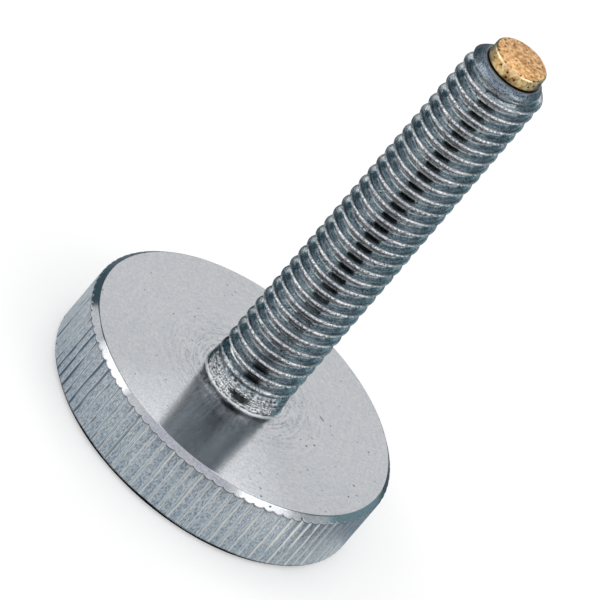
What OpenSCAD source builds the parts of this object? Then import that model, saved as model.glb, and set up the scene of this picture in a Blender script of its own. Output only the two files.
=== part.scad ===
// Flat knurled thumb screw with a brass pressure tip.
// Millimetres. The screw stands on its head: the back of the head is at z = 0 and the stem points up along +Z.

/* [Head] */
// Diameter over the knurl
head_d = 23.7; // [16:0.1:36]
// Thickness of the head
head_t = 5; // [3:0.1:9]
// Edge chamfer on both faces of the head, at 45 degrees
head_chamfer = 0.42; // [0.3:0.01:0.8]
// Spacing of the straight knurl, measured round the rim
knurl_pitch = 0.8; // [0.6:0.05:1.6]
// Depth of the knurl's grooves
knurl_depth = 0.12; // [0.05:0.01:0.25]

/* [Stem] */
// Nominal diameter of the thread
thread_d = 6; // [5:0.5:8]
// Pitch of the thread, one start, right-hand
thread_pitch = 1; // [0.8:0.05:1.25]
// How much smaller the crests are than the nominal diameter
thread_allowance = 0.08; // [0.02:0.01:0.2]
// Length of steel from the head's front face to the end of the stem
stem_l = 31; // [12:0.5:60]
// Length of the plain neck between the head and the thread
neck_l = 1; // [0.6:0.1:3]
// Radius of the fillet at the foot of the neck
neck_fillet = 0.2; // [0.1:0.05:0.5]
// Length over which the thread fades out towards the neck
runout_l = 1.2; // [0.5:0.1:3]
// Chamfer on the end of the stem, at 45 degrees
end_chamfer = 0.8; // [0.4:0.05:0.9]

/* [Brass tip] */
// Diameter of the pad
tip_d = 4; // [3.4:0.1:4.2]
// Height of the pad above the steel
tip_h = 1; // [0.6:0.1:3]
// Edge break on the pad's end and on its underside
tip_edge = 0.12; // [0.05:0.01:0.2]
// Diameter of the peg that holds the pad
peg_d = 2.4; // [1.5:0.1:2.8]
// Length of the peg inside the stem
peg_l = 3.5; // [2:0.1:8]
// Gap all round the peg, nothing for a press fit
peg_clearance = 0; // [0:0.01:0.05]
// Free depth of the hole beyond the peg
hole_spare = 0.5; // [0.2:0.1:2]
// Countersink at the mouth of the hole
hole_break = 0.15; // [0.05:0.01:0.3]

/* [Hidden] */
$fn = 96;

steel = [0.62, 0.65, 0.67];
brass = [0.85, 0.68, 0.38];

head_r = head_d / 2;
crest_r = (thread_d - thread_allowance) / 2;
stem_top = head_t + stem_l;
pad_top = stem_top + tip_h;

// Knurl
ridges = round(PI * head_d / knurl_pitch);
ridge_angle = 360 / ridges;
// Where a ridge's shoulder lies, as a share of its width, and how far it has dropped, as a share of the depth
shoulder_at = 0.15;
shoulder_drop = 0.2;

// Metric thread profile with 60 degree flanks
flank_slope = tan(30);
thread_depth = 0.6134 * thread_pitch;
crest_flat = thread_pitch / 8;
flank_w = thread_depth * flank_slope;
root_flat = thread_pitch - crest_flat - 2 * flank_w;
// Drop of the crest where the thread begins, which leaves the neck's edge standing
start_drop = 0.04;
thread_start = head_t + neck_l;

// The thread is one closed mesh: the profile's corners on each of the columns round the stem
columns = 24;
corners = 4;
turns = ceil((stem_top - thread_start) / thread_pitch) + 3;
// How many pitches below the neck's end the helix begins, which turns the thread to where its first crest stands
lead_in = 1.58;
column_points = turns * corners + 1;
mesh_start = thread_start - lead_in * thread_pitch;
mesh_foot = mesh_start - 0.2 * thread_pitch;
mesh_head = mesh_start + (turns + 1.2) * thread_pitch;

// Drill point of a twist drill
drill_half_angle = 59;
// How far a cutting shape runs past the face that it cuts
past = 0.5;

// Height of a profile corner within its turn
function corner_z(i) =
    i == 0 ? 0 :
    i == 1 ? root_flat :
    i == 2 ? root_flat + flank_w :
    root_flat + flank_w + crest_flat;

// Height of point q on column j
function point_z(j, q) =
    mesh_start + thread_pitch * (j / columns + floor(q / corners)) + corner_z(q % corners);

// How much of the thread's depth is cut at a height: nothing at the neck, all of it past the run-out
function cut_share(z) = min(1, max(0, (z - thread_start) / runout_l));

// Radius of point q: corners 2 and 3 are on the crest, the others at the root
function point_r(q, z) =
    crest_r - start_drop * (1 - cut_share(z))
    - (q % corners < 2 ? thread_depth * cut_share(z) : 0);

function around(r, j, z) = [r * cos(360 * j / columns), r * sin(360 * j / columns), z];

// Index of point q on column j, of a point on the foot ring and of a point on the head ring
function at(j, q) = j * column_points + q;
function foot(j) = columns * column_points + j;
function top(j) = foot(columns) + j;

function quad(a, b, c, d) = [[a, b, c], [a, c, d]];

// Between column j and the next one, which after the last is the first one a turn higher
function band(j) =
    j < columns - 1
    ? [for (q = [0 : column_points - 2]) each quad(at(j, q), at(j, q + 1), at(j + 1, q + 1), at(j + 1, q))]
    : [for (q = [0 : column_points - 2 - corners])
        each quad(at(j, q), at(j, q + 1), at(0, q + 1 + corners), at(0, q + corners))];

module head() {
    intersection() {
        linear_extrude(head_t) knurl_outline();
        rotate_extrude()
            polygon([
                [0, 0],
                [head_r - head_chamfer, 0],
                [head_r + past, head_chamfer + past],
                [head_r + past, head_t - head_chamfer - past],
                [head_r - head_chamfer, head_t],
                [0, head_t]
            ]);
    }
}

// Low ridges with sloping sides and narrow grooves between them
module knurl_outline() {
    polygon([
        for (i = [0 : ridges - 1])
            for (p = [[0, 1], [shoulder_at, shoulder_drop], [0.5, 0], [1 - shoulder_at, shoulder_drop]])
                let (r = head_r - knurl_depth * p[1], a = ridge_angle * (i + p[0]))
                [r * cos(a), r * sin(a)]
    ]);
}

// Plain neck with a hollow fillet at its foot
module neck() {
    translate([0, 0, head_t - past]) cylinder(r = crest_r, h = neck_l + past);
    translate([0, 0, head_t])
        rotate_extrude()
            difference() {
                translate([crest_r - past, -past]) square([neck_fillet + past, neck_fillet + past]);
                translate([crest_r + neck_fillet, neck_fillet]) circle(r = neck_fillet);
            }
}

module thread() {
    points = [
        for (j = [0 : columns - 1])
            for (q = [0 : column_points - 1])
                let (z = point_z(j, q)) around(point_r(q, z), j, z),
        for (j = [0 : columns - 1]) around(crest_r - thread_depth, j, mesh_foot),
        for (j = [0 : columns - 1]) around(crest_r - thread_depth, j, mesh_head)
    ];
    last = columns - 1;
    end = column_points - 1;
    faces = [
        for (j = [0 : last]) each band(j),
        for (j = [0 : last - 1]) each quad(foot(j), at(j, 0), at(j + 1, 0), foot(j + 1)),
        for (j = [0 : last - 1]) each quad(at(j, end), top(j), top(j + 1), at(j + 1, end)),
        // The step where the last column meets the first, at the foot and at the head
        [at(last, 0), foot(0), foot(last)],
        [at(last, 0), at(0, 0), foot(0)],
        for (q = [0 : corners - 1]) [at(last, 0), at(0, q + 1), at(0, q)],
        for (q = [0 : corners - 1]) [at(0, end), at(last, end - corners + q), at(last, end - corners + q + 1)],
        [at(0, end), at(last, end), top(last)],
        [at(0, end), top(last), top(0)],
        for (j = [1 : last - 1]) [foot(0), foot(j), foot(j + 1)],
        for (j = [1 : last - 1]) [top(0), top(j + 1), top(j)]
    ];
    // The end chamfer is turned across the thread
    intersection() {
        polyhedron(points, faces);
        rotate_extrude()
            polygon([
                [0, head_t - 2],
                [crest_r + past, head_t - 2],
                [crest_r + past, stem_top - end_chamfer - past],
                [crest_r - end_chamfer, stem_top],
                [0, stem_top]
            ]);
    }
}

// Drilled hole that the brass peg is pressed into
module peg_hole() {
    hole_r = peg_d / 2 + peg_clearance;
    floor_z = stem_top - peg_l - hole_spare;
    rotate_extrude()
        polygon([
            [0, floor_z - hole_r / tan(drill_half_angle)],
            [hole_r, floor_z],
            [hole_r, stem_top - hole_break],
            [hole_r + hole_break + past, stem_top + past],
            [0, stem_top + past]
        ]);
}

module screw() {
    color(steel)
        difference() {
            union() {
                head();
                neck();
                thread();
            }
            peg_hole();
        }
}

module brass_tip() {
    peg_r = peg_d / 2;
    tip_r = tip_d / 2;
    color(brass)
        rotate_extrude()
            polygon([
                [0, stem_top - peg_l],
                [peg_r - tip_edge, stem_top - peg_l],
                [peg_r, stem_top - peg_l + tip_edge],
                [peg_r, stem_top],
                [tip_r - tip_edge, stem_top],
                [tip_r, stem_top + tip_edge],
                [tip_r, pad_top - tip_edge],
                [tip_r - tip_edge, pad_top],
                [0, pad_top]
            ]);
}

screw();
brass_tip();
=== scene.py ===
"""A flat knurled thumb screw in steel with a brass pressure tip, standing on its head on a pale floor."""

import math

import bpy
from mathutils import Matrix, Vector


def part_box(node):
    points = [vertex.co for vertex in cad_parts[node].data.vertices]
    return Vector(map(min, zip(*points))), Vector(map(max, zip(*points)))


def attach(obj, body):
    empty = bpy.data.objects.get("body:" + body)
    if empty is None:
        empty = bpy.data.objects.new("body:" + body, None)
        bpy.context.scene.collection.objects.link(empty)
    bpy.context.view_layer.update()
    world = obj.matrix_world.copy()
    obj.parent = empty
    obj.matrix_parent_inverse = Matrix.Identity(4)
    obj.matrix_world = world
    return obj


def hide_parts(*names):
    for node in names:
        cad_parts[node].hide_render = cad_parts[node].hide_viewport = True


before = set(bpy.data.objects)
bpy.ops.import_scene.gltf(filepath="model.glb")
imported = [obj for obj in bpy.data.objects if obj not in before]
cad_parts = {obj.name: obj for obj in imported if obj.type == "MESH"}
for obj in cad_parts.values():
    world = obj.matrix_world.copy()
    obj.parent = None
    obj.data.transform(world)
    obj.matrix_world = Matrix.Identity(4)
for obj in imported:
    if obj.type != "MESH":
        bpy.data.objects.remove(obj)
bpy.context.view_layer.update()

# Sizes in metres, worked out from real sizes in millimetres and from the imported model
MM = 0.001
steel_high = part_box("screw")[1]
pad_low, pad_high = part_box("brass_tip")
HEAD_R = min(steel_high.x, steel_high.y)
HEAD_T = 5 * MM
HEAD_CHAMFER = 0.42 * MM
KNURL_PITCH = 0.8 * MM
KNURL_DEPTH = 0.12 * MM
THREAD_PITCH = 1 * MM
THREAD_DEPTH = 0.6134 * THREAD_PITCH
CREST_FLAT_SHARE = 0.125
# The photograph shows the root wider than the solid has it, which is 0.17 of the pitch
ROOT_FLAT_SHARE = 0.22
CREST_R = 2.96 * MM
NECK_L = 1 * MM
NECK_FILLET = 0.2 * MM
START_DROP = 0.04 * MM
RUNOUT_L = 1.2 * MM
END_CHAMFER = 0.8 * MM
STEM_TOP = steel_high.z
PEG_R = 1.2 * MM
DRILL_HALF_ANGLE = math.radians(59)
HOLE_SPARE = 0.5 * MM
HOLE_BREAK = 0.15 * MM
PAD_R = (pad_high.x - pad_low.x) / 2
PAD_TOP = pad_high.z
PEG_FOOT = pad_low.z
PAD_EDGE = 0.12 * MM
WORN_EDGE = 0.05 * MM
THREAD_START = HEAD_T + NECK_L
# The lathe's feed marks on the neck, and the share of each one that slopes in before it steps out again
TURNED_MARKS = 5
TURNED_PITCH = 0.155 * MM
TURNED_DEPTH = 0.08 * MM
TURNED_SLOPE = 0.9
# Points of the thread closer than this are one
WELD = 0.001 * MM
# How deep a joined solid sits in its neighbour, and how far a cutting one runs past the face
PAST = 1 * MM

# What the floor gives to the camera and to reflections beside the light that falls on it
FLOOR_GLOW = 0.36
# How bright the white surroundings are as a light
SKY_LIGHT = 0.75
LAMP_DISTANCE = 300 * MM

# Where the camera stands, from the photograph: pixels are those of its 600 by 600 frame
PICTURE_PX = 600
HEAD_WIDTH_PX = 362
AXIS_ANGLE = 49.4
CAMERA_HEIGHT_ANGLE = 30.2
FACE_CENTRE_PX = (-99.2, 11.9)
LENS = 1200
SENSOR = 36


def add(tree, kind, inputs=(), **settings):
    """Adds a node, sets its properties, then links or sets its inputs.

    A node given as the value of an input means its first live output.
    """
    node = tree.nodes.new(kind)
    for name, value in settings.items():
        setattr(node, name, value)
    for key, value in dict(inputs).items():
        if isinstance(value, bpy.types.Node):
            value = next(socket for socket in value.outputs if socket.enabled)
        if isinstance(value, bpy.types.NodeSocket):
            tree.links.new(value, node.inputs[key])
        else:
            node.inputs[key].default_value = value
    return node


def linear(hex_colour):
    """An sRGB hex colour as linear red, green, blue and alpha."""
    parts = [int(hex_colour[i : i + 2], 16) / 255 for i in (1, 3, 5)]
    return [p / 12.92 if p <= 0.04045 else ((p + 0.055) / 1.055) ** 2.4 for p in parts] + [1]


def shown(name, mesh):
    """A mesh as an object in the scene."""
    made = bpy.data.objects.new(name, mesh)
    bpy.context.scene.collection.objects.link(made)
    return made


def camera():
    """A long lens far away, since the photograph shows hardly any perspective."""
    px = 2 * HEAD_R / HEAD_WIDTH_PX
    height = math.radians(CAMERA_HEIGHT_ANGLE)
    back = Vector((0, -math.cos(height), math.sin(height)))
    side = Vector((1, 0, 0))
    up = back.cross(side)
    along, across = FACE_CENTRE_PX
    aim = Vector((0, 0, HEAD_T)) - (up * along + side * across) * px
    roll = math.radians(90 - AXIS_ANGLE)
    right = side * math.cos(roll) + up * math.sin(roll)
    above = up * math.cos(roll) - side * math.sin(roll)
    data = bpy.data.cameras.new("camera")
    data.sensor_width = SENSOR
    data.lens = LENS
    distance = px * PICTURE_PX * LENS / SENSOR
    data.clip_start = distance / 10
    data.clip_end = distance * 10
    place = Matrix((right, above, back)).transposed().to_4x4()
    place.translation = aim + back * distance
    made = bpy.data.objects.new("camera", data)
    made.matrix_world = place
    bpy.context.scene.collection.objects.link(made)
    bpy.context.scene.camera = made


def soften(corners, radius, steps=2):
    """Rounds each inner corner of an outline, which keeps its first and last points."""
    points = [Vector(corners[0])]
    for before, here, after in zip(corners, corners[1:], corners[2:]):
        here = Vector(here)
        back, on = Vector(before) - here, Vector(after) - here
        reach = min(radius, back.length / 3, on.length / 3)
        start, end = here + back.normalized() * reach, here + on.normalized() * reach
        for i in range(steps + 1):
            t = i / steps
            points.append(start * (1 - t) ** 2 + here * 2 * t * (1 - t) + end * t * t)
    return points + [Vector(corners[-1])]


def filled(outline, inner, across, along):
    """Splits the stretches beyond an inner radius until none is longer across or along than its limit."""
    points = [outline[0]]
    for start, end in zip(outline, outline[1:]):
        parts = 1
        if min(start.x, end.x) > inner:
            parts = math.ceil(max(abs(end.x - start.x) / across, abs(end.y - start.y) / along))
        points += [start.lerp(end, i / parts) for i in range(1, parts + 1)]
    return points


def lathe(name, outline, columns, finish):
    """Turns an outline of (radius, height) points, which starts and ends on the axis, into a closed solid."""
    rings = outline[1:-1]
    verts = [(0, 0, outline[0][1]), (0, 0, outline[-1][1])]
    for r, z in rings:
        for j in range(columns):
            a = 2 * math.pi * j / columns
            verts.append((r * math.cos(a), r * math.sin(a), z))
    faces = []
    last = 2 + (len(rings) - 1) * columns
    for j in range(columns):
        k = (j + 1) % columns
        faces.append((0, 2 + k, 2 + j))
        for i in range(len(rings) - 1):
            a, b = 2 + i * columns, 2 + (i + 1) * columns
            faces.append((a + j, a + k, b + k, b + j))
        faces.append((1, last + j, last + k))
    mesh = bpy.data.meshes.new(name)
    mesh.from_pydata(verts, [], faces)
    mesh.materials.append(finish)
    return shown(name, mesh)


def applied(piece, name):
    """The piece with its modifiers made plain mesh, as a new object; the old one is removed."""
    seen = bpy.context.evaluated_depsgraph_get()
    mesh = bpy.data.meshes.new_from_object(piece.evaluated_get(seen))
    bpy.data.objects.remove(piece)
    return shown(name, mesh)


def with_nodes(piece, tree, values):
    """Puts a Geometry Nodes tree on a piece, with its named inputs set."""
    modifier = piece.modifiers.new(tree.name, "NODES")
    modifier.node_group = tree
    for item in tree.interface.items_tree:
        if item.item_type == "SOCKET" and item.in_out == "INPUT" and item.name in values:
            modifier[item.identifier] = values[item.name]


def joined(piece, others, operation):
    """Unites other closed solids with a piece, or cuts them from it. Each keeps its own finish."""
    for other in others:
        modifier = piece.modifiers.new(operation, "BOOLEAN")
        modifier.operation = operation
        modifier.solver = "MANIFOLD"
        modifier.material_mode = "TRANSFER"
        modifier.object = other


def new_tree(name, inputs):
    """An empty Geometry Nodes tree that takes and gives geometry, with its named inputs."""
    tree = bpy.data.node_groups.new(name, "GeometryNodeTree")
    tree.interface.new_socket("Geometry", in_out="INPUT", socket_type="NodeSocketGeometry")
    tree.interface.new_socket("Geometry", in_out="OUTPUT", socket_type="NodeSocketGeometry")
    for socket, kind in inputs.items():
        tree.interface.new_socket(socket, in_out="INPUT", socket_type=kind)
    return tree, add(tree, "NodeGroupInput").outputs


def thread_tree():
    """One start of a metric thread: a strip of profile rows that winds up the stem, welded turn to turn."""
    number, whole = "NodeSocketFloat", "NodeSocketInt"
    tree, given = new_tree("cut_thread", {
        "Columns": whole, "Rows": whole, "Turns": whole, "Pitch": number, "Depth": number,
        "Crest radius": number, "Crest flat": number, "Root flat": number, "Crest rounding": number,
        "Root rounding": number, "Foot": number, "Start": number, "Run-out": number, "Start drop": number,
        "Top": number, "Chamfer": number, "Tear": number, "Ripple": number, "Tear scale": number,
        "Seed": number, "Material": "NodeSocketMaterial",
    })
    rows = add(tree, "ShaderNodeMath", {0: given["Rows"], 1: 1}, operation="ADD")
    steps = add(tree, "ShaderNodeMath", {
        0: given["Columns"], 1: given["Turns"], 2: 1}, operation="MULTIPLY_ADD")
    strip = add(tree, "GeometryNodeMeshGrid", {"Vertices X": steps, "Vertices Y": rows})
    index = add(tree, "GeometryNodeInputIndex")
    row = add(tree, "ShaderNodeMath", {0: index, 1: rows}, operation="MODULO")
    step = add(tree, "ShaderNodeMath", {0: index, 1: rows}, operation="DIVIDE")
    step = add(tree, "ShaderNodeMath", {0: step}, operation="FLOOR")
    share = add(tree, "ShaderNodeMath", {0: row, 1: given["Rows"]}, operation="DIVIDE")
    turn = add(tree, "ShaderNodeMath", {0: step, 1: given["Columns"]}, operation="DIVIDE")
    climb = add(tree, "ShaderNodeMath", {0: turn, 1: share}, operation="ADD")
    foot = add(tree, "ShaderNodeMath", {0: given["Foot"], 1: given["Pitch"]}, operation="SUBTRACT")
    height = add(tree, "ShaderNodeMath", {0: climb, 1: given["Pitch"], 2: foot}, operation="MULTIPLY_ADD")
    height = add(tree, "ShaderNodeClamp", {0: height, 1: given["Foot"], 2: given["Top"]})
    column = add(tree, "ShaderNodeMath", {0: step, 1: given["Columns"]}, operation="MODULO")
    angle = add(tree, "ShaderNodeMath", {0: column, 1: given["Columns"]}, operation="DIVIDE")
    angle = add(tree, "ShaderNodeMath", {0: angle, 1: 2 * math.pi}, operation="MULTIPLY")
    cosine = add(tree, "ShaderNodeMath", {0: angle}, operation="COSINE")
    sine = add(tree, "ShaderNodeMath", {0: angle}, operation="SINE")
    # How deep this row of the profile lies, from 0 on the crest to 1 at the root, with both corners rounded
    off_crest = add(tree, "ShaderNodeMath", {0: share, 1: 0.5}, operation="SUBTRACT")
    off_crest = add(tree, "ShaderNodeMath", {0: off_crest}, operation="ABSOLUTE")
    crest_edge = add(tree, "ShaderNodeMath", {0: given["Crest flat"], 1: 0.5}, operation="MULTIPLY")
    root_edge = add(tree, "ShaderNodeMath", {
        0: given["Root flat"], 1: -0.5, 2: 0.5}, operation="MULTIPLY_ADD")
    fall = add(tree, "ShaderNodeMapRange", {0: off_crest, 1: crest_edge, 2: root_edge}, clamp=False)
    fall = add(tree, "ShaderNodeMath", {0: fall, 1: 1, 2: given["Root rounding"]}, operation="SMOOTH_MIN")
    fall = add(tree, "ShaderNodeMath", {0: fall, 1: 0, 2: given["Crest rounding"]}, operation="SMOOTH_MAX")
    runout_end = add(tree, "ShaderNodeMath", {0: given["Start"], 1: given["Run-out"]}, operation="ADD")
    cut = add(tree, "ShaderNodeMapRange", {0: height, 1: given["Start"], 2: runout_end})
    uncut = add(tree, "ShaderNodeMath", {0: 1, 1: cut}, operation="SUBTRACT")
    drop = add(tree, "ShaderNodeMath", {0: given["Start drop"], 1: uncut}, operation="MULTIPLY")
    radius = add(tree, "ShaderNodeMath", {0: given["Crest radius"], 1: drop}, operation="SUBTRACT")
    depth = add(tree, "ShaderNodeMath", {0: given["Depth"], 1: cut}, operation="MULTIPLY")
    sunk = add(tree, "ShaderNodeMath", {0: depth, 1: fall}, operation="MULTIPLY")
    radius = add(tree, "ShaderNodeMath", {0: radius, 1: sunk}, operation="SUBTRACT")
    # The die ripples the thread a little all along, and tears the steel where it stopped
    place = add(tree, "ShaderNodeCombineXYZ", {0: cosine, 1: sine, 2: climb})
    torn = add(tree, "ShaderNodeTexNoise", {
        "Vector": place, "W": given["Seed"], "Scale": given["Tear scale"], "Detail": 3,
    }, noise_dimensions="4D")
    inside = add(tree, "ShaderNodeMath", {0: cut, 1: uncut}, operation="MULTIPLY")
    tear = add(tree, "ShaderNodeMath", {0: inside, 1: given["Tear"]}, operation="MULTIPLY")
    tear = add(tree, "ShaderNodeMath", {0: cut, 1: given["Ripple"], 2: tear}, operation="MULTIPLY_ADD")
    tear = add(tree, "ShaderNodeMath", {0: tear, 1: torn}, operation="MULTIPLY")
    radius = add(tree, "ShaderNodeMath", {0: radius, 1: tear}, operation="SUBTRACT")
    # The chamfer turned on the end is a cone that limits the radius
    end_r = add(tree, "ShaderNodeMath", {
        0: given["Crest radius"], 1: given["Chamfer"]}, operation="SUBTRACT")
    cone = add(tree, "ShaderNodeMath", {0: given["Top"], 1: height}, operation="SUBTRACT")
    cone = add(tree, "ShaderNodeMath", {0: cone, 1: end_r}, operation="ADD")
    radius = add(tree, "ShaderNodeMath", {0: radius, 1: cone}, operation="MINIMUM")
    x = add(tree, "ShaderNodeMath", {0: radius, 1: cosine}, operation="MULTIPLY")
    y = add(tree, "ShaderNodeMath", {0: radius, 1: sine}, operation="MULTIPLY")
    spot = add(tree, "ShaderNodeCombineXYZ", {0: x, 1: y, 2: height})
    wound = add(tree, "GeometryNodeSetPosition", {"Geometry": strip, "Position": spot})
    # A flat disc closes each end
    foot_r = add(tree, "ShaderNodeMath", {
        0: given["Crest radius"], 1: given["Start drop"]}, operation="SUBTRACT")
    foot_disc = add(tree, "GeometryNodeMeshCircle", {
        "Vertices": given["Columns"], "Radius": foot_r}, fill_type="NGON")
    foot_place = add(tree, "ShaderNodeCombineXYZ", {2: given["Foot"]})
    foot_disc = add(tree, "GeometryNodeTransform", {"Geometry": foot_disc, "Translation": foot_place})
    foot_disc = add(tree, "GeometryNodeFlipFaces", {0: foot_disc})
    top_disc = add(tree, "GeometryNodeMeshCircle", {
        "Vertices": given["Columns"], "Radius": end_r}, fill_type="NGON")
    top_place = add(tree, "ShaderNodeCombineXYZ", {2: given["Top"]})
    top_disc = add(tree, "GeometryNodeTransform", {"Geometry": top_disc, "Translation": top_place})
    whole_thread = add(tree, "GeometryNodeJoinGeometry")
    for part in (wound, foot_disc, top_disc):
        tree.links.new(part.outputs[0], whole_thread.inputs[0])
    welded = add(tree, "GeometryNodeMergeByDistance", {"Geometry": whole_thread, "Distance": WELD})
    solid = add(tree, "GeometryNodeRealizeInstances", {0: welded})
    finished = add(tree, "GeometryNodeSetMaterial", {0: solid, "Material": given["Material"]})
    add(tree, "NodeGroupOutput", {0: finished})
    return tree


def knurl_tree():
    """Presses a straight knurl into a turned rim: nothing may stand further out than the ridges allow."""
    number = "NodeSocketFloat"
    tree, given = new_tree("straight_knurl", {
        "Ridges": "NodeSocketInt", "Radius": number, "Depth": number, "Groove share": number,
        "Unevenness": number, "Wander": number, "Wander scale": number, "Dents": number, "Dent size": number,
        "Seed": number, "Material": "NodeSocketMaterial",
    })
    # The narrowest groove against the mean one, and how far the ridge beside a groove lies below its crown
    narrowest = 0.85
    shoulder = 0.2
    # Dents are drawn out along the screw's axis
    dent_shape = (1, 1, 0.3)
    # Only what lies beyond this share of the radius is pressed
    rim_from = 0.9
    # A face whose normal rises less than this belongs to the wall
    wall_rise = 0.4
    place = add(tree, "GeometryNodeInputPosition")
    at = add(tree, "ShaderNodeSeparateXYZ", {0: place}).outputs
    flat = add(tree, "ShaderNodeCombineXYZ", {0: at[0], 1: at[1]})
    radius = add(tree, "ShaderNodeVectorMath", {0: flat}, operation="LENGTH").outputs["Value"]
    angle = add(tree, "ShaderNodeMath", {0: at[1], 1: at[0]}, operation="ARCTAN2")
    share = add(tree, "ShaderNodeMath", {0: angle, 1: 1 / (2 * math.pi)}, operation="MULTIPLY")
    ridge = add(tree, "ShaderNodeMath", {0: share, 1: given["Ridges"]}, operation="MULTIPLY")
    # The grooves wander a little along their length
    coarse = add(tree, "ShaderNodeTexNoise", {
        "Vector": place, "W": given["Seed"], "Scale": given["Wander scale"], "Detail": 2,
    }, noise_dimensions="4D")
    off = add(tree, "ShaderNodeMath", {0: coarse, 1: 0.5}, operation="SUBTRACT")
    ridge = add(tree, "ShaderNodeMath", {0: off, 1: given["Wander"], 2: ridge}, operation="MULTIPLY_ADD")
    ridge = add(tree, "ShaderNodeMath", {0: ridge, 1: given["Ridges"]}, operation="ADD")
    groove = add(tree, "ShaderNodeMath", {0: ridge, 1: 0.5}, operation="ADD")
    groove = add(tree, "ShaderNodeMath", {0: groove}, operation="FLOOR")
    to_groove = add(tree, "ShaderNodeMath", {0: ridge, 1: groove}, operation="SUBTRACT")
    to_groove = add(tree, "ShaderNodeMath", {0: to_groove}, operation="ABSOLUTE")
    turn_of = add(tree, "ShaderNodeMath", {0: groove, 1: given["Ridges"]}, operation="FLOORED_MODULO")
    pick = add(tree, "ShaderNodeCombineXYZ", {0: turn_of, 1: given["Seed"]})
    # Each groove has its own width and depth
    chance = add(tree, "ShaderNodeTexWhiteNoise", {"Vector": pick}, noise_dimensions="3D")
    width = add(tree, "ShaderNodeMath", {
        0: chance, 1: given["Unevenness"], 2: narrowest}, operation="MULTIPLY_ADD")
    width = add(tree, "ShaderNodeMath", {0: width, 1: given["Groove share"]}, operation="MULTIPLY")
    wall = add(tree, "ShaderNodeMapRange", {0: to_groove, 1: 0, 2: width, 3: 1, 4: shoulder})
    crown = add(tree, "ShaderNodeMapRange", {0: to_groove, 1: width, 2: 0.5, 3: shoulder, 4: 0})
    in_wall = add(tree, "ShaderNodeMath", {0: to_groove, 1: width}, operation="LESS_THAN")
    sunk = add(tree, "ShaderNodeMix", {0: in_wall, 2: crown, 3: wall})
    uneven = add(tree, "ShaderNodeTexWhiteNoise", {"Vector": pick}, noise_dimensions="2D")
    less = add(tree, "ShaderNodeMath", {0: uneven, 1: given["Unevenness"]}, operation="MULTIPLY")
    deep = add(tree, "ShaderNodeMath", {0: 1, 1: less}, operation="SUBTRACT")
    sunk = add(tree, "ShaderNodeMath", {0: sunk, 1: deep}, operation="MULTIPLY")
    sunk = add(tree, "ShaderNodeMath", {0: sunk, 1: given["Depth"]}, operation="MULTIPLY")
    scale = add(tree, "ShaderNodeMath", {0: 1, 1: given["Dent size"]}, operation="DIVIDE")
    drawn_out = add(tree, "ShaderNodeVectorMath", {0: place, 1: dent_shape}, operation="MULTIPLY")
    fine = add(tree, "ShaderNodeTexNoise", {
        "Vector": drawn_out, "W": given["Seed"], "Scale": scale, "Detail": 2}, noise_dimensions="4D")
    dents = add(tree, "ShaderNodeMath", {0: fine, 1: given["Dents"]}, operation="MULTIPLY")
    limit = add(tree, "ShaderNodeMath", {0: given["Radius"], 1: sunk}, operation="SUBTRACT")
    limit = add(tree, "ShaderNodeMath", {0: limit, 1: dents}, operation="SUBTRACT")
    kept = add(tree, "ShaderNodeMath", {0: radius, 1: limit}, operation="MINIMUM")
    shrink = add(tree, "ShaderNodeMath", {0: kept, 1: radius}, operation="DIVIDE")
    ring = add(tree, "ShaderNodeVectorMath", {0: flat, "Scale": shrink}, operation="SCALE")
    ring = add(tree, "ShaderNodeSeparateXYZ", {0: ring}).outputs
    spot = add(tree, "ShaderNodeCombineXYZ", {0: ring[0], 1: ring[1], 2: at[2]})
    reach = add(tree, "ShaderNodeMath", {0: given["Radius"], 1: rim_from}, operation="MULTIPLY")
    outside = add(tree, "ShaderNodeMath", {0: radius, 1: reach}, operation="GREATER_THAN")
    pressed = add(tree, "GeometryNodeSetPosition", {
        "Geometry": given["Geometry"], "Selection": outside, "Position": spot})
    solid = add(tree, "GeometryNodeRealizeInstances", {0: pressed})
    # Only the wall of the rim takes the knurled finish
    facing = add(tree, "ShaderNodeSeparateXYZ", {0: add(tree, "GeometryNodeInputNormal")}).outputs[2]
    facing = add(tree, "ShaderNodeMath", {0: facing}, operation="ABSOLUTE")
    sideways = add(tree, "ShaderNodeMath", {0: facing, 1: wall_rise}, operation="LESS_THAN")
    finished = add(tree, "GeometryNodeSetMaterial", {
        0: solid, "Selection": sideways, "Material": given["Material"]})
    add(tree, "NodeGroupOutput", {0: finished})
    return tree


def smooth_where_round(piece, angle):
    """Shades a piece smooth, with a hard edge wherever its faces meet at more than the angle."""
    piece.data.shade_smooth()
    piece.data.set_sharp_from_angle(angle=math.radians(angle))


def metal(name):
    """A new material with a Principled shader, given with its tree."""
    made = bpy.data.materials.new(name)
    made.use_nodes = True
    tree = made.node_tree
    tree.nodes.clear()
    shader = add(tree, "ShaderNodeBsdfPrincipled")
    shader.inputs["Metallic"].default_value = 1
    add(tree, "ShaderNodeOutputMaterial", {0: shader})
    return made, tree, shader


def measured(tree):
    """The piece's own coordinates in millimetres: as a vector, as x, y and z, as the way out from the axis,
    and as the distance from it.
    """
    place = add(tree, "ShaderNodeTexCoord").outputs["Object"]
    place = add(tree, "ShaderNodeVectorMath", {0: place, "Scale": 1 / MM}, operation="SCALE")
    at = add(tree, "ShaderNodeSeparateXYZ", {0: place}).outputs
    outward = add(tree, "ShaderNodeCombineXYZ", {0: at[0], 1: at[1]}).outputs[0]
    radius = add(tree, "ShaderNodeVectorMath", {0: outward}, operation="LENGTH").outputs["Value"]
    return place, at, outward, radius


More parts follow.
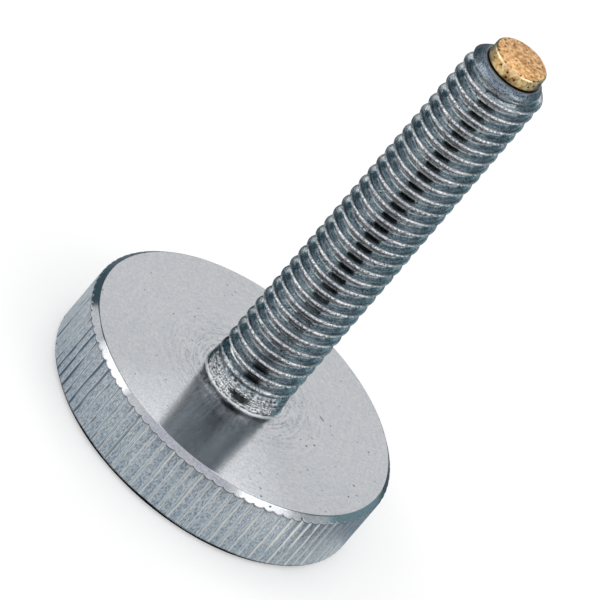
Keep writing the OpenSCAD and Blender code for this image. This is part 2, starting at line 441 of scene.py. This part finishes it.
def faced_steel():
    """Free-cutting steel, faced and chamfered on a lathe: a fine mottled grain, faint broken rings that
    darken near the stem, and a satin polish that drags reflections out towards the rim, with sharp sides.
    """
    made, tree, shader = metal("faced_steel")
    place, at, outward, radius = measured(tree)
    # In millimetres. The feed marks are drawn twice as coarse as real ones so that they show
    mark_spacing = 0.16
    arc_length = 5 / 3
    grain_width = 0.17
    pit_spacing = 0.35
    # Feed marks, broken into arcs
    rings = add(tree, "ShaderNodeMath", {0: radius, 1: 1 / mark_spacing}, operation="MULTIPLY")
    across = add(tree, "ShaderNodeMath", {0: at[0], 1: 1 / arc_length}, operation="MULTIPLY")
    away = add(tree, "ShaderNodeMath", {0: at[1], 1: 1 / arc_length}, operation="MULTIPLY")
    arcs = add(tree, "ShaderNodeCombineXYZ", {0: rings, 1: across, 2: away})
    marks = add(tree, "ShaderNodeTexNoise", {"Vector": arcs, "Scale": 1, "Detail": 2, "Roughness": 0.6})
    grain = add(tree, "ShaderNodeTexNoise", {
        "Vector": place, "Scale": 1 / grain_width, "Detail": 2, "Roughness": 0.7})
    # The rings show most near the stem, and the grain further out
    ringed = add(tree, "ShaderNodeMapRange", {0: radius, 1: 4, 2: 7.5, 3: 0.5, 4: 0.24})
    both = add(tree, "ShaderNodeMix", {0: ringed, 2: grain, 3: marks})
    tone = add(tree, "ShaderNodeMapRange", {0: both, 1: 0.34, 2: 0.66})
    colour = add(tree, "ShaderNodeMix", {
        0: tone, 6: linear("#AEB2B8"), 7: linear("#C7C8CA")}, data_type="RGBA")
    # The marks are darker close to the stem
    rubbed = add(tree, "ShaderNodeMapRange", {0: both, 1: 0.5, 2: 0.4})
    close = add(tree, "ShaderNodeMapRange", {0: radius, 1: 3.4, 2: 6.5, 3: 0.6, 4: 0})
    rubbed = add(tree, "ShaderNodeMath", {0: rubbed, 1: close}, operation="MULTIPLY")
    colour = add(tree, "ShaderNodeMix", {0: rubbed, 6: colour, 7: linear("#7E858C")}, data_type="RGBA")
    specks = add(tree, "ShaderNodeTexNoise", {"Vector": place, "Scale": 1 / pit_spacing, "Detail": 1})
    pits = add(tree, "ShaderNodeMapRange", {0: specks, 1: 0.75, 2: 0.78})
    # One short scratch: an ellipse 0.7 mm long and 0.14 mm wide, lying askew
    scratch = add(tree, "ShaderNodeMapping", {
        0: place, "Location": (5.37, 2.99, 5), "Rotation": (0, 0, math.radians(-27)),
        "Scale": (0.35, 0.07, 1),
    }, vector_type="TEXTURE")
    scratch = add(tree, "ShaderNodeVectorMath", {0: scratch}, operation="LENGTH")
    scratch = add(tree, "ShaderNodeMapRange", {0: scratch, 1: 1, 2: 0.6})
    marred = add(tree, "ShaderNodeMath", {0: pits, 1: scratch}, operation="MAXIMUM")
    colour = add(tree, "ShaderNodeMix", {0: marred, 6: colour, 7: linear("#50565E")}, data_type="RGBA")
    tree.links.new(colour.outputs[2], shader.inputs["Base Color"])
    shader.inputs["Roughness"].default_value = 0.13
    shader.inputs["Anisotropic"].default_value = 1
    tree.links.new(outward, shader.inputs["Tangent"])
    relief = add(tree, "ShaderNodeBump", {"Strength": 0.5, "Distance": 0.003 * MM, "Height": marks})
    tree.links.new(relief.outputs[0], shader.inputs["Normal"])
    return made


def knurled_steel():
    """The same steel pressed by a knurling wheel: blue-grey as painted reflection, with small drawn-out
    squiggles, and grooves with a painted highlight on one wall and painted shade on the other.
    """
    made, tree, shader = metal("knurled_steel")
    place, at, outward, radius = measured(tree)
    # In millimetres, and drawn out along the axis
    squiggle_width = 0.075
    squiggle_shape = (1, 1, 0.35)
    drawn_out = add(tree, "ShaderNodeVectorMath", {0: place, 1: squiggle_shape}, operation="MULTIPLY")
    squiggles = add(tree, "ShaderNodeTexNoise", {
        "Vector": drawn_out, "Scale": 1 / squiggle_width, "Detail": 2, "Roughness": 0.6, "Distortion": 0.5})
    # The blue-grey tint is painted reflection of darker, bluish surroundings; the squiggles are the steel's
    # own grain
    tone = add(tree, "ShaderNodeMapRange", {0: squiggles, 1: 0.38, 2: 0.62})
    colour = add(tree, "ShaderNodeMix", {
        0: tone, 6: linear("#7F90A0"), 7: linear("#C9CDCE")}, data_type="RGBA")
    # Painted highlight on one wall of each groove. The other has a painted highlight on its shoulder, then
    # painted shade, most towards -X
    around = add(tree, "ShaderNodeVectorMath", {0: (0, 0, 1), 1: outward}, operation="CROSS_PRODUCT")
    around = add(tree, "ShaderNodeVectorMath", {0: around}, operation="NORMALIZE")
    looks = add(tree, "ShaderNodeNewGeometry").outputs["Normal"]
    lean = add(tree, "ShaderNodeVectorMath", {0: looks, 1: around}, operation="DOT_PRODUCT")
    shoulder = add(tree, "ShaderNodeMapRange", {0: lean, 1: 0.14, 2: 0.26, 4: 0.8})
    colour = add(tree, "ShaderNodeMix", {0: shoulder, 6: colour, 7: linear("#DEE1E2")}, data_type="RGBA")
    painted_shade = add(tree, "ShaderNodeMapRange", {0: lean, 1: 0.26, 2: 0.42})
    shade_towards_minus_x = add(tree, "ShaderNodeMapRange", {0: at[0], 1: -2, 2: -8, 3: 0.35, 4: 0.95})
    painted_shade = add(tree, "ShaderNodeMath", {0: painted_shade, 1: shade_towards_minus_x}, operation="MULTIPLY")
    colour = add(tree, "ShaderNodeMix", {0: painted_shade, 6: colour, 7: linear("#46586C")}, data_type="RGBA")
    wall_highlight = add(tree, "ShaderNodeMapRange", {0: lean, 1: -0.2, 2: -0.5})
    colour = add(tree, "ShaderNodeMix", {0: wall_highlight, 6: colour, 7: linear("#E4E2DC")}, data_type="RGBA")
    # The bottom of a groove is a plain mid grey
    deep = add(tree, "ShaderNodeMapRange", {
        0: radius, 1: (HEAD_R - 0.95 * KNURL_DEPTH) / MM, 2: (HEAD_R - 0.75 * KNURL_DEPTH) / MM, 3: 1, 4: 0})
    colour = add(tree, "ShaderNodeMix", {0: deep, 6: colour, 7: linear("#8494A0")}, data_type="RGBA")
    # Painted shade along the edges where the ridges run out into the chamfers, at top and bottom
    off_middle = add(tree, "ShaderNodeMath", {0: at[2], 1: HEAD_T / MM / 2}, operation="SUBTRACT")
    off_middle = add(tree, "ShaderNodeMath", {0: off_middle}, operation="ABSOLUTE")
    reach = add(tree, "ShaderNodeMath", {0: radius, 1: off_middle}, operation="ADD")
    corner = (HEAD_R + HEAD_T / 2 - HEAD_CHAMFER) / MM
    edge_shade = add(tree, "ShaderNodeMapRange", {0: reach, 1: corner - 0.09, 2: corner - 0.04, 4: 0.8})
    colour = add(tree, "ShaderNodeMix", {0: edge_shade, 6: colour, 7: linear("#56606C")}, data_type="RGBA")
    tree.links.new(colour.outputs[2], shader.inputs["Base Color"])
    shader.inputs["Roughness"].default_value = 0.28
    relief = add(tree, "ShaderNodeBump", {"Strength": 0.5, "Distance": 0.02 * MM, "Height": squiggles})
    tree.links.new(relief.outputs[0], shader.inputs["Normal"])
    return made


def threaded_steel():
    """The same steel cut with a die: pale worn crests with a painted highlight, streaked and pitted flanks
    that are slick below, painted shade low on the flanks and under each crest, roots with dirt and painted
    shade between painted highlight lines, painted dark reflections low on the thread and on the neck, a
    painted highlight at the neck's foot, painted shade in the seam round the pad, a dull grainy end, and
    torn, glittering metal where the die stopped.
    """
    made, tree, shader = metal("threaded_steel")
    place, at, outward, radius = measured(tree)
    up_thread = add(tree, "ShaderNodeMapRange", {
        0: radius, 1: (CREST_R - THREAD_DEPTH) / MM, 2: CREST_R / MM})
    # In millimetres
    streak_spacing = 0.09
    grain_width = 0.08
    speck_width = 0.14
    flake_height = 0.22
    # Distances round the neck count for this share, so a flake is longer that way than it is high
    flake_squeeze = 0.6
    # Streaks run round the flanks and change slowly along the thread
    rings = add(tree, "ShaderNodeMath", {0: radius, 1: 1 / streak_spacing}, operation="MULTIPLY")
    across = add(tree, "ShaderNodeMath", {0: at[2], 1: 0.7, 2: at[0]}, operation="MULTIPLY_ADD")
    streaks = add(tree, "ShaderNodeCombineXYZ", {0: rings, 1: across, 2: at[1]})
    streaks = add(tree, "ShaderNodeTexNoise", {
        "Vector": streaks, "Scale": 1, "Detail": 2, "Roughness": 0.6})
    grain = add(tree, "ShaderNodeTexNoise", {"Vector": place, "Scale": 1 / grain_width, "Detail": 2})
    both = add(tree, "ShaderNodeMix", {0: 0.65, 2: streaks, 3: grain})
    tone = add(tree, "ShaderNodeMapRange", {0: both, 1: 0.44, 2: 0.57})
    colour = add(tree, "ShaderNodeMix", {
        0: tone, 6: linear("#84959F"), 7: linear("#E0E6E8")}, data_type="RGBA")
    # Painted shade low on the flanks
    painted_shade = add(tree, "ShaderNodeMapRange", {0: up_thread, 1: 0.3, 2: 0.55, 3: 0.12, 4: 0})
    colour = add(tree, "ShaderNodeMix", {0: painted_shade, 6: colour, 7: linear("#46535B")}, data_type="RGBA")
    # The root has dirt and painted shade, and a painted highlight runs where the flank turns into it
    corner = add(tree, "ShaderNodeMapRange", {0: up_thread, 1: 0.22, 2: 0.12})
    colour = add(tree, "ShaderNodeMix", {0: corner, 6: colour, 7: linear("#F0F2F2")}, data_type="RGBA")
    root = add(tree, "ShaderNodeMapRange", {0: up_thread, 1: 0.02, 2: 0.07, 3: 1, 4: 0})
    dirt_and_shade = add(tree, "ShaderNodeMix", {
        0: tone, 6: linear("#4C4B4F"), 7: linear("#A2A6AA")}, data_type="RGBA")
    colour = add(tree, "ShaderNodeMix", {0: root, 6: colour, 7: dirt_and_shade}, data_type="RGBA")
    # Painted shade in a line under each crest, and a worn crest broken up by specks, with a painted highlight
    under_crest_shade = add(tree, "ShaderNodeMapRange", {0: up_thread, 1: 0.56, 2: 0.72, 4: 0.5})
    colour = add(tree, "ShaderNodeMix", {0: under_crest_shade, 6: colour, 7: linear("#5A6870")}, data_type="RGBA")
    specks = add(tree, "ShaderNodeTexNoise", {"Vector": place, "Scale": 1 / speck_width, "Detail": 1})
    sparkle = add(tree, "ShaderNodeMapRange", {0: specks, 1: 0.4, 2: 0.56})
    worn_crest_and_highlight = add(tree, "ShaderNodeMix", {
        0: sparkle, 6: linear("#7C8388"), 7: linear("#F8F7F8")}, data_type="RGBA")
    crest = add(tree, "ShaderNodeMapRange", {0: up_thread, 1: 0.79, 2: 0.92})
    colour = add(tree, "ShaderNodeMix", {0: crest, 6: colour, 7: worn_crest_and_highlight}, data_type="RGBA")
    # The turned end above the chamfer's foot is a duller lilac grey
    end = add(tree, "ShaderNodeMapRange", {
        0: at[2], 1: (STEM_TOP - END_CHAMFER) / MM, 2: (STEM_TOP - 0.6 * END_CHAMFER) / MM})
    dull = add(tree, "ShaderNodeMix", {
        0: tone, 6: linear("#5E6A74"), 7: linear("#98A4AE")}, data_type="RGBA")
    colour = add(tree, "ShaderNodeMix", {0: end, 6: colour, 7: dull}, data_type="RGBA")
    # Painted shade in the seam round the brass pad
    seam_shade = add(tree, "ShaderNodeMapRange", {0: radius, 1: PAD_R / MM + 0.1, 2: PAD_R / MM + 0.03})
    seam_shade = add(tree, "ShaderNodeMath", {0: seam_shade, 1: end}, operation="MULTIPLY")
    colour = add(tree, "ShaderNodeMix", {0: seam_shade, 6: colour, 7: linear("#20282E")}, data_type="RGBA")
    # Torn metal from the neck's foot to the first full thread: bright and dark flakes, in patches
    torn = add(tree, "ShaderNodeMapRange", {
        0: at[2], 1: (THREAD_START + RUNOUT_L) / MM, 2: (THREAD_START + 0.5 * RUNOUT_L) / MM})
    turned_by = add(tree, "ShaderNodeMath", {0: at[1], 1: at[0]}, operation="ARCTAN2")
    along = add(tree, "ShaderNodeMath", {0: turned_by, 1: CREST_R / MM}, operation="MULTIPLY")
    along = add(tree, "ShaderNodeMath", {0: along, 1: flake_squeeze}, operation="MULTIPLY")
    flakes = add(tree, "ShaderNodeCombineXYZ", {0: along, 1: at[2]})
    flakes = add(tree, "ShaderNodeTexVoronoi", {
        "Vector": flakes, "Scale": 1 / flake_height, "Randomness": 0.7}, voronoi_dimensions="2D")
    glitter = add(tree, "ShaderNodeMapRange", {0: flakes, 1: 0.2, 2: 0.6})
    glitter = add(tree, "ShaderNodeMix", {
        0: glitter, 6: linear("#242C32"), 7: linear("#D2D8DC")}, data_type="RGBA")
    patchy = add(tree, "ShaderNodeMapRange", {0: streaks, 1: 0.4, 2: 0.6, 3: 0.15, 4: 1})
    patchy = add(tree, "ShaderNodeMath", {0: patchy, 1: torn}, operation="MULTIPLY")
    colour = add(tree, "ShaderNodeMix", {0: patchy, 6: colour, 7: glitter}, data_type="RGBA")
    # Painted dark reflections in two ellipses, low between the first turns and on the neck
    low_turns_reflection = add(tree, "ShaderNodeMapping", {
        0: place, "Location": (0.2, -2.6, 7.6), "Scale": (0.85, 1.5, 2.1)}, vector_type="TEXTURE")
    low_turns_reflection = add(tree, "ShaderNodeVectorMath", {0: low_turns_reflection}, operation="LENGTH")
    low_turns_reflection = add(tree, "ShaderNodeMapRange", {0: low_turns_reflection, 1: 1, 2: 0.5, 4: 0.8})
    below = add(tree, "ShaderNodeMapRange", {0: up_thread, 1: 0.6, 2: 0.4})
    low_turns_reflection = add(tree, "ShaderNodeMath", {0: low_turns_reflection, 1: below}, operation="MULTIPLY")
    neck_reflection = add(tree, "ShaderNodeMapping", {
        0: place, "Location": (0.35, -2.9, 5.6), "Scale": (0.8, 1, 0.34)}, vector_type="TEXTURE")
    neck_reflection = add(tree, "ShaderNodeVectorMath", {0: neck_reflection}, operation="LENGTH")
    neck_reflection = add(tree, "ShaderNodeMath", {0: grain, 1: 1.6, 2: neck_reflection}, operation="MULTIPLY_ADD")
    neck_reflection = add(tree, "ShaderNodeMapRange", {0: neck_reflection, 1: 2, 2: 1.6, 4: 0.95})
    dark_reflections = add(tree, "ShaderNodeMath", {0: low_turns_reflection, 1: neck_reflection}, operation="MAXIMUM")
    colour = add(tree, "ShaderNodeMix", {0: dark_reflections, 6: colour, 7: linear("#12171A")}, data_type="RGBA")
    # Painted highlight on the small round at the neck's foot
    foot = add(tree, "ShaderNodeMapRange", {
        0: at[2], 1: (HEAD_T + 0.55 * NECK_FILLET) / MM, 2: (HEAD_T + 0.4 * NECK_FILLET) / MM})
    colour = add(tree, "ShaderNodeMix", {0: foot, 6: colour, 7: linear("#E8EAEC")}, data_type="RGBA")
    pits = add(tree, "ShaderNodeMapRange", {0: specks, 1: 0.64, 2: 0.68})
    colour = add(tree, "ShaderNodeMix", {0: pits, 6: colour, 7: linear("#343E45")}, data_type="RGBA")
    tree.links.new(colour.outputs[2], shader.inputs["Base Color"])
    # The lower half of a flank is slick, so that it mirrors what lies around, and the crest is rubbed dull
    worn = add(tree, "ShaderNodeMapRange", {0: up_thread, 1: 0.7, 2: 0.95, 3: 0.17, 4: 0.4})
    slick = add(tree, "ShaderNodeMapRange", {0: up_thread, 1: 0.4, 2: 0.6, 3: -0.06, 4: 0})
    worn = add(tree, "ShaderNodeMath", {0: worn, 1: slick}, operation="ADD")
    worn = add(tree, "ShaderNodeMath", {0: root, 1: 0.25, 2: worn}, operation="MULTIPLY_ADD")
    worn = add(tree, "ShaderNodeMath", {0: foot, 1: 0.3, 2: worn}, operation="MULTIPLY_ADD")
    worn = add(tree, "ShaderNodeMath", {0: end, 1: 0.22, 2: worn}, operation="MULTIPLY_ADD")
    worn = add(tree, "ShaderNodeMath", {0: torn, 1: -0.22, 2: worn}, operation="MULTIPLY_ADD")
    tree.links.new(worn.outputs[0], shader.inputs["Roughness"])
    shader.inputs["Anisotropic"].default_value = 0.5
    tree.links.new(outward, shader.inputs["Tangent"])
    firm = add(tree, "ShaderNodeMapRange", {0: up_thread, 1: 0.4, 2: 0.6, 3: 0.2, 4: 0.8})
    relief = add(tree, "ShaderNodeBump", {"Strength": firm, "Distance": 0.02 * MM, "Height": both})
    tree.links.new(relief.outputs[0], shader.inputs["Normal"])
    return made


def turned_brass():
    """Yellow brass, parted off and left bare: a mottled side, a rosier end and a painted highlight on the
    edge between them, all full of pits.
    """
    made, tree, shader = metal("turned_brass")
    place, at = measured(tree)[:2]
    # In millimetres
    speck_width = 0.3
    pit_spacing = 0.4
    edge_width = 0.03
    specks = add(tree, "ShaderNodeTexNoise", {
        "Vector": place, "Scale": 1 / speck_width, "Detail": 4, "Roughness": 0.7})
    end = add(tree, "ShaderNodeMath", {0: at[2], 1: PAD_TOP / MM - edge_width}, operation="GREATER_THAN")
    tone = add(tree, "ShaderNodeMapRange", {0: specks, 1: 0.4, 2: 0.6})
    side_colour = add(tree, "ShaderNodeMix", {
        0: tone, 6: linear("#CC9450"), 7: linear("#FFE6B0")}, data_type="RGBA")
    # Painted highlight on the broken edge
    rubbed = add(tree, "ShaderNodeMapRange", {
        0: at[2], 1: (PAD_TOP - 1.1 * PAD_EDGE) / MM, 2: (PAD_TOP - 0.8 * PAD_EDGE) / MM, 4: 0.6})
    side_colour = add(tree, "ShaderNodeMix", {
        0: rubbed, 6: side_colour, 7: linear("#EBD5B8")}, data_type="RGBA")
    end_colour = add(tree, "ShaderNodeMix", {
        0: tone, 6: linear("#A87440"), 7: linear("#E6BE88")}, data_type="RGBA")
    colour = add(tree, "ShaderNodeMix", {0: end, 6: side_colour, 7: end_colour}, data_type="RGBA")
    cells = add(tree, "ShaderNodeTexVoronoi", {"Vector": place, "Scale": 1 / pit_spacing})
    pits = add(tree, "ShaderNodeMapRange", {0: cells, 1: 0.25, 2: 0.15})
    colour = add(tree, "ShaderNodeMix", {0: pits, 6: colour, 7: linear("#4A3018")}, data_type="RGBA")
    tree.links.new(colour.outputs[2], shader.inputs["Base Color"])
    shader.inputs["Roughness"].default_value = 0.28
    relief = add(tree, "ShaderNodeBump", {"Strength": 0.5, "Distance": 0.012 * MM, "Height": specks})
    tree.links.new(relief.outputs[0], shader.inputs["Normal"])
    return made


def screw(face, rim, stem):
    """The steel screw: knurled head, neck, threaded stem and drilled hole, as one closed mesh."""
    ridges = round(2 * math.pi * HEAD_R / KNURL_PITCH)
    columns_per_ridge = 14
    face_r = HEAD_R - HEAD_CHAMFER
    outline = soften([
        (0, 0), (face_r, 0), (HEAD_R, HEAD_CHAMFER), (HEAD_R, HEAD_T - HEAD_CHAMFER),
        (face_r, HEAD_T), (0, HEAD_T),
    ], radius=WORN_EDGE)
    # The chamfers need close rings for the scallops, and the wall needs fewer
    outline = filled(outline, inner=face_r - WORN_EDGE, across=0.05 * MM, along=0.6 * MM)
    head = lathe("head", outline, columns=ridges * columns_per_ridge, finish=face)
    with_nodes(head, knurl_tree(), {
        "Ridges": ridges, "Radius": HEAD_R, "Depth": KNURL_DEPTH, "Groove share": 0.15, "Unevenness": 0.4,
        "Wander": 0.4, "Wander scale": 1.5 / MM, "Dents": 0.01 * MM, "Dent size": 0.2 * MM, "Seed": 3.0,
        "Material": rim,
    })
    head = applied(head, "head")
    # The fillet's foot dips just under the face, so that the two solids cross
    dip = 0.004 * MM
    fillet_steps = 6
    fillet = []
    for i in range(fillet_steps + 1):
        a = math.pi / 2 * (1 - i / fillet_steps)
        out, up = NECK_FILLET * (1 - math.cos(a)), NECK_FILLET * (1 - math.sin(a))
        fillet.append((CREST_R + out, HEAD_T - dip + up))
    # The neck is rough turned: each feed mark slopes in as it climbs, then steps out again
    turned = []
    for i in range(TURNED_MARKS):
        low = HEAD_T + NECK_FILLET + TURNED_PITCH * i
        turned += [(CREST_R, low), (CREST_R - TURNED_DEPTH, low + TURNED_SLOPE * TURNED_PITCH)]
    neck = lathe("neck", [
        (0, HEAD_T - PAST), (CREST_R + NECK_FILLET, HEAD_T - PAST), *fillet, *turned,
        (CREST_R - START_DROP, THREAD_START), (0, THREAD_START),
    ], columns=128, finish=stem)
    # The thread begins inside the neck
    thread = shown("thread", bpy.data.meshes.new("thread"))
    foot = THREAD_START - THREAD_PITCH / 2
    turns = math.ceil((STEM_TOP - foot) / THREAD_PITCH) + 1
    with_nodes(thread, thread_tree(), {
        "Columns": 64, "Rows": 24, "Turns": turns, "Pitch": THREAD_PITCH, "Depth": THREAD_DEPTH,
        "Crest radius": CREST_R, "Crest flat": CREST_FLAT_SHARE, "Root flat": ROOT_FLAT_SHARE,
        "Crest rounding": 0.3, "Root rounding": 0.1, "Foot": foot, "Start": THREAD_START, "Run-out": RUNOUT_L,
        "Start drop": START_DROP, "Top": STEM_TOP, "Chamfer": END_CHAMFER, "Tear": 0.14 * MM,
        "Ripple": 0.03 * MM, "Tear scale": 6.0, "Seed": 5.0, "Material": stem,
    })
    thread = applied(thread, "thread")
    hole_floor = PEG_FOOT - HOLE_SPARE
    hole = lathe("hole", [
        (0, hole_floor - PEG_R / math.tan(DRILL_HALF_ANGLE)), (PEG_R, hole_floor),
        (PEG_R, STEM_TOP - HOLE_BREAK), (PEG_R + HOLE_BREAK + PAST, STEM_TOP + PAST), (0, STEM_TOP + PAST),
    ], columns=64, finish=stem)
    joined(head, [neck, thread], "UNION")
    joined(head, [hole], "DIFFERENCE")
    made = applied(head, "thumb_screw")
    for used in (neck, thread, hole):
        bpy.data.objects.remove(used)
    smooth_where_round(made, angle=40)
    return made


def brass_tip(brass):
    """The brass pad and its peg, turned in one."""
    outline = soften([
        (0, PEG_FOOT), (PEG_R - PAD_EDGE, PEG_FOOT), (PEG_R, PEG_FOOT + PAD_EDGE), (PEG_R, STEM_TOP),
        (PAD_R - PAD_EDGE, STEM_TOP), (PAD_R, STEM_TOP + PAD_EDGE), (PAD_R, PAD_TOP - PAD_EDGE),
        (PAD_R - PAD_EDGE, PAD_TOP), (0, PAD_TOP),
    ], radius=0.03 * MM)
    made = lathe("pressure_pad", outline, columns=96, finish=brass)
    smooth_where_round(made, angle=40)
    return made


def lit(name, colour, floor=False):
    """A backdrop's material: a card that shows its own colour, or paper that is white to the camera and to
    reflections, less its shadow.
    """
    made = bpy.data.materials.new(name)
    made.use_nodes = True
    tree = made.node_tree
    tree.nodes.clear()
    shade = add(tree, "ShaderNodeEmission", {"Color": linear(colour), "Strength": 1})
    if floor:
        rays = add(tree, "ShaderNodeLightPath").outputs
        seen = add(tree, "ShaderNodeMath", {
            0: rays["Is Camera Ray"], 1: rays["Is Glossy Ray"]}, operation="MAXIMUM")
        seen = add(tree, "ShaderNodeMath", {0: seen, 1: rays["Is Transmission Ray"]}, operation="MAXIMUM")
        seen = add(tree, "ShaderNodeMath", {0: seen, 1: FLOOR_GLOW}, operation="MULTIPLY")
        tree.links.new(seen.outputs[0], shade.inputs["Strength"])
        paper = add(tree, "ShaderNodeBsdfDiffuse", {"Color": linear("#E6E6E6")})
        shade = add(tree, "ShaderNodeAddShader", {0: paper, 1: shade})
        away = add(tree, "ShaderNodeNewGeometry").outputs["Backfacing"]
        shade = add(tree, "ShaderNodeMixShader", {
            0: away, 1: shade, 2: add(tree, "ShaderNodeBsdfTransparent")})
    add(tree, "ShaderNodeOutputMaterial", {0: shade})
    return made


def card(name, colour, turns, near, far):
    """A card that only reflections see: a band between two rings, over a range of azimuths.

    A ring is its radius and height in millimetres. Azimuth 0 is where the camera stands, and it grows
    towards +X.
    """
    steps = 12
    verts = []
    for i in range(steps + 1):
        a = math.radians(turns[0] + (turns[1] - turns[0]) * i / steps)
        for r, z in (near, far):
            verts.append((r * MM * math.sin(a), -r * MM * math.cos(a), z * MM))
    mesh = bpy.data.meshes.new(name)
    mesh.from_pydata(verts, [], [(2 * i, 2 * i + 2, 2 * i + 3, 2 * i + 1) for i in range(steps)])
    mesh.materials.append(lit(name, colour))
    made = shown(name, mesh)
    for ray in ("camera", "diffuse", "transmission", "volume_scatter", "shadow"):
        setattr(made, "visible_" + ray, False)


def softbox(name, way, size, strength):
    """A soft lamp aimed at the screw from an azimuth and an elevation. Strength 1 shines like white paper."""
    data = bpy.data.lights.new(name, "AREA")
    data.shape = "RECTANGLE"
    data.size, data.size_y = size
    data.energy = strength * math.pi * size[0] * size[1]
    a, e = [math.radians(angle) for angle in way]
    out = Vector((math.sin(a) * math.cos(e), -math.cos(a) * math.cos(e), math.sin(e)))
    lamp = bpy.data.objects.new(name, data)
    lamp.location = Vector((0, 0, HEAD_T)) + out * LAMP_DISTANCE
    lamp.rotation_euler = out.to_track_quat("Z", "Y").to_euler()
    lamp.visible_camera = False
    bpy.context.scene.collection.objects.link(lamp)


def studio():
    """White surroundings, a pale floor, three softboxes, and cards that the metal reflects."""
    scene = bpy.context.scene
    scene.view_settings.view_transform = "Standard"
    world = bpy.data.worlds.new("studio")
    scene.world = world
    world.use_nodes = True
    tree = world.node_tree
    tree.nodes.clear()
    rays = add(tree, "ShaderNodeLightPath").outputs
    seen = add(tree, "ShaderNodeMath", {
        0: rays["Is Camera Ray"], 1: rays["Is Glossy Ray"]}, operation="MAXIMUM")
    seen = add(tree, "ShaderNodeMath", {0: seen, 1: rays["Is Transmission Ray"]}, operation="MAXIMUM")
    strength = add(tree, "ShaderNodeMapRange", {0: seen, 3: SKY_LIGHT, 4: 1})
    sky = add(tree, "ShaderNodeBackground", {"Color": linear("#FFFFFF"), "Strength": strength})
    add(tree, "ShaderNodeOutputWorld", {0: sky})
    reach = 400 * MM
    corners = [(-reach, -reach, 0), (reach, -reach, 0), (reach, reach, 0), (-reach, reach, 0)]
    mesh = bpy.data.meshes.new("floor")
    mesh.from_pydata(corners, [], [(0, 1, 2, 3)])
    mesh.materials.append(lit("paper", "#FFFFFF", floor=True))
    shown("floor", mesh)
    # Close to the head, where the rim's reflections end
    # The black ring at the head's foot is painted contact shadow that only reflections see
    card("contact_shadow_card", "#0A1216", (-180, 180), (11.45, 0.02), (12.15, 0.02))
    card("near_shade_card", "#D6DCE0", (-110, 155), (12.2, 0.1), (15.4, 0.1))
    card("near_far_left_card", "#98A6B2", (-155, -110), (12.2, 0.1), (20.3, 0.1))
    card("near_left_card", "#EAECEE", (-110, 38), (15.4, 0.1), (20.3, 0.1))
    card("near_right_card", "#989FA8", (62, 92), (15.4, 0.1), (20.3, 0.1))
    card("near_side_card", "#8C9BA8", (92, 148), (12.2, 0.15), (20.3, 0.15))
    card("near_back_card", "#39454D", (148, 205), (12.2, 0.15), (20.3, 0.15))
    # Further out, where the thread's flanks and the shank's image in the face end
    card("front_card", "#050607", (-22, 37), (20.5, 0.1), (62, 0.1))
    card("front_far_card", "#E2E2DE", (-22, 37), (62, 0.1), (160, 0.1))
    card("right_card", "#CBD2D6", (37, 75), (20.5, 0.1), (160, 0.1))
    card("far_right_card", "#A6B2BA", (75, 128), (20.5, 0.1), (380, 0.1))
    card("left_card", "#E8EAEB", (-80, -22), (20.5, 0.1), (160, 0.1))
    card("far_left_card", "#A6B2BA", (-128, -80), (20.5, 0.1), (380, 0.1))
    card("back_right_card", "#55656D", (128, 150), (20.5, 0.1), (160, 0.1))
    card("back_card", "#10181C", (150, 210), (20.5, 0.1), (160, 0.1))
    card("back_left_card", "#6E7E88", (210, 232), (20.5, 0.1), (160, 0.1))
    # Standing round the screw
    card("low_back_card", "#16262B", (152, 208), (150, 0), (150, 32))
    card("low_right_card", "#88A6AE", (112, 152), (150, 0), (150, 109))
    card("high_right_card", "#6A7880", (104, 152), (150, 109), (75, 168))
    card("low_left_card", "#4C636C", (208, 240), (150, 0), (150, 109))
    card("high_left_card", "#4A565E", (208, 256), (150, 109), (75, 168))
    card("side_card", "#D2D8DC", (92, 118), (160, 50), (150, 140))
    card("high_front_card", "#E6E6F0", (-45, 45), (120, 133), (45, 168))
    softbox("left_softbox", (-84, 43), (165 * MM, 70 * MM), 1.6)
    softbox("right_softbox", (73, 48), (150 * MM, 70 * MM), 1.45)
    softbox("back_softbox", (180, 54), (130 * MM, 70 * MM), 1.8)


camera()
steel_piece = screw(faced_steel(), knurled_steel(), threaded_steel())
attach(steel_piece, "root")
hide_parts("screw")
brass_piece = brass_tip(turned_brass())
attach(brass_piece, "root")
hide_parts("brass_tip")
studio()
